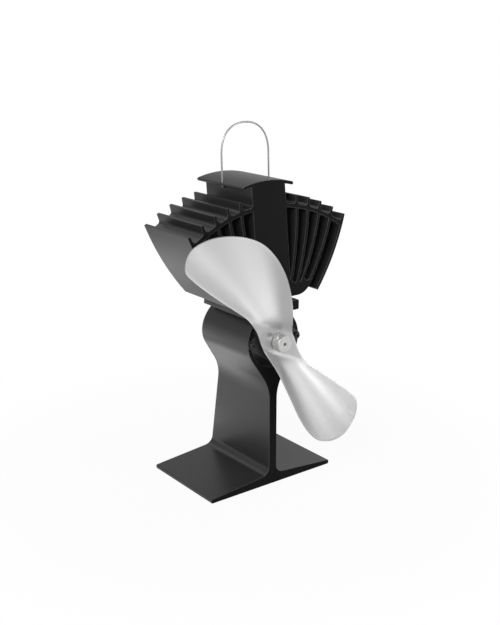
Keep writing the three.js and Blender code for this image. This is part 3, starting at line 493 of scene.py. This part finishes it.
blade = {
    "radius": 116,
    "middle": -45.3,  # of the sheet, along Y
    "sheet": 1,
    "axisAngle": 130,
    "strapHalf": 8,  # of the flat strap over the hub, which lies askew to the blade
    "strapTurn": 27.5,
    "strapRamp": 0.8,  # how steeply a lobe rises from the strap's side
    "strapSoftness": 6,
    "rampSharpness": 2.4,  # of the turn from that ramp into the lobe
    "coneTip": 12,  # beyond the hub, where the straight lines of a lobe's bend would meet
    "holeRadius": 3.75,
    "holeReach": (-50, -40),
    "edge": 0.3,
    "stepsPerStation": 6,
    "across": 28,
    "closer": 0.01,
}
# From the hub to a tip: distance along, then the forward and the rear edge across, as shares
# of the radius
bladeOutline = [
    (0, 0.132, -0.132),
    (0.095, 0.163, -0.105),
    (0.198, 0.202, -0.072),
    (0.31, 0.241, -0.066),
    (0.44, 0.277, -0.095),
    (0.578, 0.293, -0.129),
    (0.707, 0.279, -0.158),
    (0.819, 0.226, -0.178),
    (0.914, 0.143, -0.181),
    (0.974, 0.052, -0.134),
    (1, -0.066, -0.066),
]
# Round the bend's tip, in degrees from the blade's axis, and how far the sheet rises there, as
# a share of the distance from that tip
bladeRise = [
    (-14, 0),
    (-10, 0.006),
    (-6, 0.014),
    (-3, 0.0235),
    (-1, 0.0325),
    (1, 0.044),
    (3, 0.057),
    (8, 0.0915),
    (13.8, 0.131),
    (19, 0.172),
    (23.3, 0.218),
    (27, 0.276),
    (30.2, 0.345),
    (33.8, 0.42),
    (39.4, 0.52),
    (52, 0.7),
    (90, 0.9),
]


def bladeEdge():  # once round the blade's edge, as points along and across
    forward = [(a, b) for a, b, _ in bladeOutline]
    rear = [(-a, -c) for a, _, c in bladeOutline]
    oneSide = forward[::-1] + rear[1:]
    otherSide = [(-a, -b) for a, b in oneSide[1:-1]]
    return [Vector(p) * blade["radius"] for p in oneSide + otherSide]


def onLoop(points, share):  # a smooth closed curve through the points
    at = share * len(points)
    i = math.floor(at)
    p = [points[(i + k - 1) % len(points)] for k in range(4)]
    d = [(p[k + 1] - p[k]).length ** 0.5 for k in range(3)]
    m1 = ((p[1] - p[0]) / d[0] - (p[2] - p[0]) / (d[0] + d[1]) + (p[2] - p[1]) / d[1]) * d[1]
    m2 = ((p[2] - p[1]) / d[1] - (p[3] - p[1]) / (d[1] + d[2]) + (p[3] - p[2]) / d[2]) * d[1]
    t = at - i
    rise = p[1] * -3 + p[2] * 3 - m1 * 2 - m2
    turn = p[1] * 2 - p[2] * 2 + m1 + m2
    return p[1] + m1 * t + rise * t * t + turn * t ** 3


def smoothStep(value):
    share = min(1, max(0, value))
    return share * share * (3 - 2 * share)


def alongTable(rows, x):  # a smooth curve through a table, level at both ends
    later = [i for i, row in enumerate(rows) if row[0] > x]
    if not later or later[0] == 0:
        return rows[0 if later else -1][1]
    i = later[0]
    slopes = []
    for k in (i - 1, i):
        if 0 < k < len(rows) - 1:
            before, after = rows[k - 1], rows[k + 1]
            slopes.append((after[1] - before[1]) / (after[0] - before[0]))
        else:
            slopes.append(0)
    span = rows[i][0] - rows[i - 1][0]
    t = (x - rows[i - 1][0]) / span
    level = rows[i - 1][1] + (rows[i][1] - rows[i - 1][1]) * smoothStep(t)
    return level + span * t * (1 - t) * (slopes[0] * (1 - t) - slopes[1] * t)


def bladeForward(along, across):  # how far in front of the strap the sheet stands there
    turn = math.radians(blade["strapTurn"])
    fromStrap = along * math.sin(turn) + across * math.cos(turn)
    side = 1 if fromStrap > 0 else -1
    a, c = side * along + blade["coneTip"], side * across
    rise = alongTable(bladeRise, math.degrees(math.atan2(c, a))) * math.hypot(a, c)
    beyond = abs(fromStrap) - blade["strapHalf"]
    ramp = blade["strapRamp"] * max(0, beyond) ** 2 / math.hypot(beyond, blade["strapSoftness"])
    power = blade["rampSharpness"]
    return rise * ramp / max(tiny, rise ** power + ramp ** power) ** (1 / power)


def bladePoint(edge, row, share):  # row from one tip to the other, share across
    right, left = onLoop(edge, row / 2), onLoop(edge, 1 - row / 2)
    point = left.lerp(right, share)
    angle = math.radians(blade["axisAngle"])
    x = point.x * math.cos(angle) + point.y * math.sin(angle)
    z = point.x * math.sin(angle) - point.y * math.cos(angle)
    return Vector((x, blade["middle"] - bladeForward(point.x, point.y), axisHeight + z)) * mm


rowCount = 2 * (len(bladeOutline) - 1) * blade["stepsPerStation"]
bpy.ops.object.select_all(action="DESELECT")
bpy.ops.mesh.primitive_grid_add(x_subdivisions=rowCount, y_subdivisions=blade["across"], size=1)
fanBlade = named("fanBlade")
edge = bladeEdge()
for vertex in fanBlade.data.vertices:
    row, share = vertex.co.x + 0.5, vertex.co.y + 0.5
    vertex.co = bladePoint(edge, min(1, max(0, row)), share)
settle(fanBlade)
bpy.ops.object.mode_set(mode="EDIT")
bpy.ops.mesh.select_all(action="SELECT")
bpy.ops.mesh.remove_doubles(threshold=blade["closer"] * mm)
bpy.ops.mesh.normals_make_consistent(inside=False)
done()
thick = fanBlade.modifiers.new("sheet", "SOLIDIFY")
thick.thickness = blade["sheet"] * mm
thick.offset = 0
bpy.ops.object.modifier_apply(modifier=thick.name)
bevelled(fanBlade, blade["edge"], segments=3, angle=60)
cut(fanBlade, cylinder("hole", blade["holeRadius"], *blade["holeReach"], (0, axisHeight)))
coat(fanBlade, "blade")
smoothed(fanBlade, 50, weighted=False)
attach(fanBlade, "fan")
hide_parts("fan_blade")
print("blade made")


# Hub collar

hub = {
    "radius": 6.7,
    "front": -54.55,
    "rear": -46.05,
    "spigot": 3.6,
    "spigotRear": -43.55,
    "bore": 1.3,
    "boreRim": 1.9,
    "boreSink": 0.5,
    "boreStop": 0.2,  # short of the spigot's rear
    "chamfer": 0.8,
}

collar = cylinder("hubCollar", hub["radius"], hub["front"], hub["rear"], (0, axisHeight), sides=64)
pick(collar, lambda centre, normal: normal.y < -squarely)
bpy.ops.mesh.inset(thickness=(hub["radius"] - hub["boreRim"]) * mm)
bpy.ops.mesh.inset(thickness=(hub["boreRim"] - hub["bore"]) * mm, depth=-hub["boreSink"] * mm)
extrude((0, (hub["spigotRear"] - hub["front"] - hub["boreSink"] - hub["boreStop"]) * mm, 0))
done()
pick(collar, lambda centre, normal: normal.y > squarely and centre.y > hub["rear"] * mm - tiny)
bpy.ops.mesh.inset(thickness=(hub["radius"] - hub["spigot"]) * mm)
extrude((0, (hub["spigotRear"] - hub["rear"]) * mm, 0))
done()
bevelled(collar, hub["chamfer"], segments=3, angle=60)
coat(collar, "collar")
smoothed(collar, 40)
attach(collar, "fan")
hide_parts("blade_hub")
print("hub made")


# Screws

crossHead = {
    "straight": 0.35,  # share of the head's height below its dome
    "dome": [(0.07, 0.24), (0.12, 0.2), (0.2, 0.13), (0.25, 0.06)],  # inwards and up, as shares
    "recessFloor": 0.25,  # above the head's seat
    "recessEdge": 0.12,
    "edge": 0.07,
}


def crossHeadScrew(name, look):  # its axis is along Y through the origin
    rim = look["seat"] - look["headHeight"] * crossHead["straight"]
    screw = cylinder(name, look["headRadius"], rim, look["seat"], (0, 0), sides=40)
    pick(screw, lambda centre, normal: normal.y < -squarely)
    for inward, up in crossHead["dome"]:
        thickness, depth = inward * look["headRadius"] * mm, up * look["headHeight"] * mm
        bpy.ops.mesh.inset(thickness=thickness, depth=depth)
    done()
    pick(screw, lambda centre, normal: normal.y > squarely)
    bpy.ops.mesh.inset(thickness=(look["headRadius"] - look["shankRadius"]) * mm)
    extrude((0, (look["end"] - look["seat"]) * mm, 0))
    done()
    length, width = look["recess"], look["slotWidth"]
    deep = look["beyondHead"] + look["headHeight"]
    middle = look["seat"] - deep / 2 - crossHead["recessFloor"]
    for along, across in ((length, width), (width, length)):
        bpy.ops.object.select_all(action="DESELECT")
        bpy.ops.mesh.primitive_cube_add(size=1, location=(0, middle * mm, 0))
        slot = named("slot")
        slot.scale = Vector((along, deep, across)) * mm
        settle(slot)
        bevelled(slot, crossHead["recessEdge"], segments=1)
        cut(screw, slot)
    bevelled(screw, crossHead["edge"], segments=1, angle=50)
    return screw


def finished(piece, finishName, body, node, angle=40):
    coat(piece, finishName)
    smoothed(piece, angle)
    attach(piece, body)
    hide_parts(node)


plateScrews = {
    "headRadius": 2.9,
    "headHeight": 1.8,
    "shankRadius": 1.3,
    "seat": -41.6,
    "end": -32.1,
    "recess": 2.9,
    "slotWidth": 0.75,
    "beyondHead": 0.2,  # how far the recess's cutter stands out
    "offset": 21.7,
    "twinTurn": 35,  # degrees from one screw's recess to the other's
}
motorScrews = {
    "headRadius": 1.9,
    "headHeight": 1.2,
    "shankRadius": 1,
    "seat": -41.6,
    "end": -38.5,
    "recess": 1.9,
    "slotWidth": 0.5,
    "beyondHead": 0.1,
    "offset": 8.6,
    "twinTurn": -20,
}

pattern = crossHeadScrew("plateScrewLeft", plateScrews)
right = duplicateOf(pattern, "plateScrewRight")
turned(right, plateScrews["twinTurn"])
for screw, side, node in ((pattern, -1, "plate_screw_left"), (right, 1, "plate_screw_right")):
    moved(screw, (side * plateScrews["offset"], 0, axisHeight))
    finished(screw, "darkScrew", "stand", node)

pattern = crossHeadScrew("motorScrewUpper", motorScrews)
lower = duplicateOf(pattern, "motorScrewLower")
turned(lower, motorScrews["twinTurn"])
for screw, side, node in ((pattern, 1, "motor_screw_upper"), (lower, -1, "motor_screw_lower")):
    moved(screw, (0, 0, axisHeight + side * motorScrews["offset"]))
    finished(screw, "screw", "stand", node)
print("plate and motor screws made")


def socketScrew(name, look, centre):  # along Z, its shank pointing up or down by shankWay
    ends = look["headBottom"], look["headTop"]
    screw = cylinder(name, look["headRadius"], *ends, centre, axis="Z", sides=40)
    pick(screw, lambda at, normal: normal.z * look["shankWay"] > squarely)
    bpy.ops.mesh.inset(thickness=(look["headRadius"] - look["shankRadius"]) * mm)
    seat = look["headTop"] if look["shankWay"] > 0 else look["headBottom"]
    extrude((0, 0, (look["shankEnd"] - seat) * mm))
    done()
    face = look["headBottom"] if look["shankWay"] > 0 else look["headTop"]
    floorOfSocket = face + look["shankWay"] * look["socketDepth"]
    mouth = face - look["shankWay"]
    ends = sorted((floorOfSocket, mouth))
    cut(screw, cylinder("socket", look["socketRadius"], *ends, centre, axis="Z", sides=6))
    bevelled(screw, look["edge"], angle=50)
    return screw


setScrew = {
    "headRadius": 1.8,
    "headBottom": 7.55,  # from the shaft's axis
    "headTop": 9.95,
    "shankRadius": 1.4,
    "shankEnd": 1.43,
    "shankWay": -1,
    "socketRadius": 1.05,
    "socketDepth": 1.4,
    "edge": 0.16,
    "angle": 135,
    "place": -51.45,
}
hubScrew = socketScrew("hubSetScrew", setScrew, (0, 0))
turned(hubScrew, 90 - setScrew["angle"])
moved(hubScrew, (0, setScrew["place"], axisHeight))
finished(hubScrew, "hubScrew", "fan", "hub_set_screw")

clampScrew = {
    "headRadius": 2.75,
    "headBottom": 136.04,
    "headTop": 139.04,
    "shankRadius": 1.5,
    "shankEnd": 162.89,
    "shankWay": 1,
    "socketRadius": 1.45,
    "socketDepth": 1.8,
    "edge": 0.22,
    "places": {"front": -35.7, "rear": 12.3},
}
for end, y in clampScrew["places"].items():
    screw = socketScrew("clampScrew" + end.capitalize(), clampScrew, (0, y))
    finished(screw, "screw", "stand", "clamp_screw_" + end)
print("set screw and clamp screws made")


# Small parts with their edges broken

brokenEdges = [
    # piece, the node that it stands for, body, finish, width of its edges
    ("motorPlate", "motor_plate", "stand", "plate", 0.2),
    ("bladeWasher", "blade_ring", "fan", "collar", 0.2),
    ("motorCan", "motor_can", "stand", "can", 0.3),
    ("motorEndCap", "motor_end_cap", "stand", "plastic", 0.25),
    ("terminalLeft", "motor_terminal_left", "stand", "brass", 0.08),
    ("terminalRight", "motor_terminal_right", "stand", "brass", 0.08),
    ("coldPlate", "module_cold_plate", "stand", "ceramic", 0.15),
    ("hotPlate", "module_hot_plate", "stand", "ceramic", 0.15),
    ("moduleSeal", "module_seal", "stand", "seal", 0.3),
    ("springWasherFront", "clamp_washer_front", "stand", "screw", 0.12),
    ("springWasherRear", "clamp_washer_rear", "stand", "screw", 0.12),
    ("clampBushFront", "clamp_bush_front", "stand", "bushPlastic", 0.15),
    ("clampBushRear", "clamp_bush_rear", "stand", "bushPlastic", 0.15),
]
for name, node, body, finishName, width in brokenEdges:
    piece = copyOfNode(node, name)
    bevelled(piece, width)
    finished(piece, finishName, body, node)
print("small parts made:", len(brokenEdges))


# Leads

for colour in ("red", "black"):
    lead = copyOfNode("lead_" + colour, colour + "Lead")
    finished(lead, "lead" + colour.capitalize(), "stand", "lead_" + colour, 60)
print("leads made")


# Carried-over nodes

kept = {
    "collar": ["motor_shaft"],
    "brass": ["brush_left", "brush_right"],
    "bronze": ["front_bush", "rear_bush"],
    "ferrite": ["magnet_left", "magnet_right"],
    "core": ["rotor_core"],
    "copper": ["rotor_coil_1", "rotor_coil_2", "rotor_coil_3", "commutator"],
    "pellet": ["module_pellets"],
}
for name, members in kept.items():
    for member in members:
        for slot in nodes[member].material_slots:
            slot.material = materials[name]
print("carried-over nodes coated")


# Floor, world and lamps

studio = {
    "floorSize": 12,
    "worldLight": 0.12,
    "background": 1.0,
    "floorColour": 0.86,
    "shadow": 0.06,  # how much of the floor's own shading shows near the object
    "shadowReach": (100, 320),  # from where to where it fades out, in millimetres
    "mirrored": 0.17,  # how much of the white background gloss and metal reflect
    "panelHeight": 0.004,
}


def whiteSeen(s, ownShade=0.0):  # the rays that see the white background in place of its own shade
    camera = s.node("LightPath", output="Is Camera Ray")
    gloss = s.node("LightPath", output="Is Glossy Ray")
    through = s.node("LightPath", output="Is Transmission Ray")
    return (camera + through) * (1 - ownShade) + gloss * studio["mirrored"]


bpy.ops.object.select_all(action="DESELECT")
bpy.ops.mesh.primitive_plane_add(size=studio["floorSize"], location=(0, 0, 0))
floor = named("floor")
floorMaterial = bpy.data.materials.new("floor")
floorMaterial.use_nodes = True
tree = floorMaterial.node_tree
tree.nodes.clear()
s = Shade(tree)
paper = s.node("BsdfDiffuse", {}, {"Color": (studio["floorColour"],) * 3 + (1,)})
glow = s.node("Emission", {}, {"Color": (1, 1, 1, 1), "Strength": studio["background"]})
away = s.node("VectorMath", {"operation": "LENGTH"}, {0: s.place()}, "Value")
nearest, farthest = studio["shadowReach"]
reach = {"Value": away, "From Min": nearest, "From Max": farthest}
reach.update({"To Min": studio["shadow"], "To Max": 0})
shadow = s.node("MapRange", {"interpolation_type": "SMOOTHSTEP"}, reach)
mixed = s.node("MixShader", {}, {0: whiteSeen(s, shadow), 1: paper, 2: glow})
out = tree.nodes.new("ShaderNodeOutputMaterial")
tree.links.new(mixed.socket, out.inputs["Surface"])
floor.data.materials.append(floorMaterial)

world = bpy.data.worlds.new("studio")
bpy.context.scene.world = world
world.use_nodes = True
tree = world.node_tree
tree.nodes.clear()
s = Shade(tree)
plain = s.node("Background", {}, {"Color": (1, 1, 1, 1), "Strength": studio["worldLight"]})
white = s.node("Background", {}, {"Color": (1, 1, 1, 1), "Strength": studio["background"]})
mixed = s.node("MixShader", {}, {0: whiteSeen(s), 1: plain, 2: white})
out = tree.nodes.new("ShaderNodeOutputWorld")
tree.links.new(mixed.socket, out.inputs["Surface"])

softboxes = [
    # name, place, aimed at, width, height, power
    ("leftFront", (-1.1, -0.6, 0.9), (0, 0, 0.15), 0.7, 0.7, 14),
    ("frontRight", (0.7, -1.2, 0.9), (0, 0, 0.15), 0.6, 0.6, 5),
    ("overhead", (-0.05, 0.05, 1.5), (0, 0, 0), 1.2, 1.2, 1),
    ("backLow", (0.8, 1.05, 0.45), (0, 0, 0.15), 0.9, 0.5, 0.47),
    ("right", (0.9, -0.65, 0.2), (0, -0.05, 0.1), 0.6, 0.36, 0.72),
    ("back", (-0.1, 1.2, 1.3), (0, 0, 0.12), 0.9, 0.9, 1),
    ("rightBack", (1.3, 0.3, 0.75), (0, 0, 0.12), 0.8, 0.8, 3),
]
# Low panels on the floor, which the blade mirrors as its bright bands and the fins and the neck
# of the stand as a sheen
panels = [
    # name, place, width, length, turn, power
    ("panelFront", (0.012, -0.285), 0.04, 0.2, 0, 0.023),
    ("panelFar", (0.045, -0.37), 0.06, 0.08, 0, 0.042),
    ("panelFarthest", (0.05, -0.6), 0.15, 0.25, 0, 0.115),
    ("panelNear", (0.05, -0.21), 0.05, 0.07, 0, 0.028),
    ("panelRight", (0.75, -0.52), 0.8, 0.16, -33, 2),
    ("panelSide", (0.24, -0.2), 0.12, 0.08, -40, 0.03),
    ("panelBehind", (-0.09, 0.27), 0.12, 0.16, 0, 0.042),
    ("panelClose", (-0.02, 0.12), 0.06, 0.08, 0, 0.012),
]


def lampAt(name, place, rotation, width, height, power):
    bpy.ops.object.select_all(action="DESELECT")
    bpy.ops.object.light_add(type="AREA", location=place, rotation=rotation)
    lamp = bpy.context.object
    lamp.name = name
    lamp.data.shape = "RECTANGLE"
    lamp.data.size = width
    lamp.data.size_y = height
    lamp.data.energy = power
    return lamp


for name, place, target, width, height, power in softboxes:
    aim = (Vector(target) - Vector(place)).to_track_quat("-Z", "Y")
    lampAt(name, place, aim.to_euler(), width, height, power)
for name, place, width, length, turn, power in panels:
    upwards = (math.pi, 0, math.radians(turn))
    panel = lampAt(name, (*place, studio["panelHeight"]), upwards, width, length, power)
    panel.visible_camera = False
print("studio made")


# Camera

camera = {
    "place": (-0.45787, -0.60972, 0.36256),
    "yaw": 37.359,  # degrees to the left of the front
    "pitch": 16.640,  # degrees above
    "lens": 57.07,
    "sensor": 36,
    "clip": (0.01, 50),
}

bpy.ops.object.camera_add(location=camera["place"])
lensObject = bpy.context.object
lensObject.name = "camera"
lensObject.rotation_euler = (math.radians(90 - camera["pitch"]), 0, math.radians(-camera["yaw"]))
lensObject.data.sensor_fit = "VERTICAL"
lensObject.data.sensor_height = camera["sensor"]
lensObject.data.sensor_width = camera["sensor"]
lensObject.data.lens = camera["lens"]
lensObject.data.clip_start, lensObject.data.clip_end = camera["clip"]
bpy.context.scene.camera = lensObject
bpy.context.scene.view_settings.view_transform = "Standard"
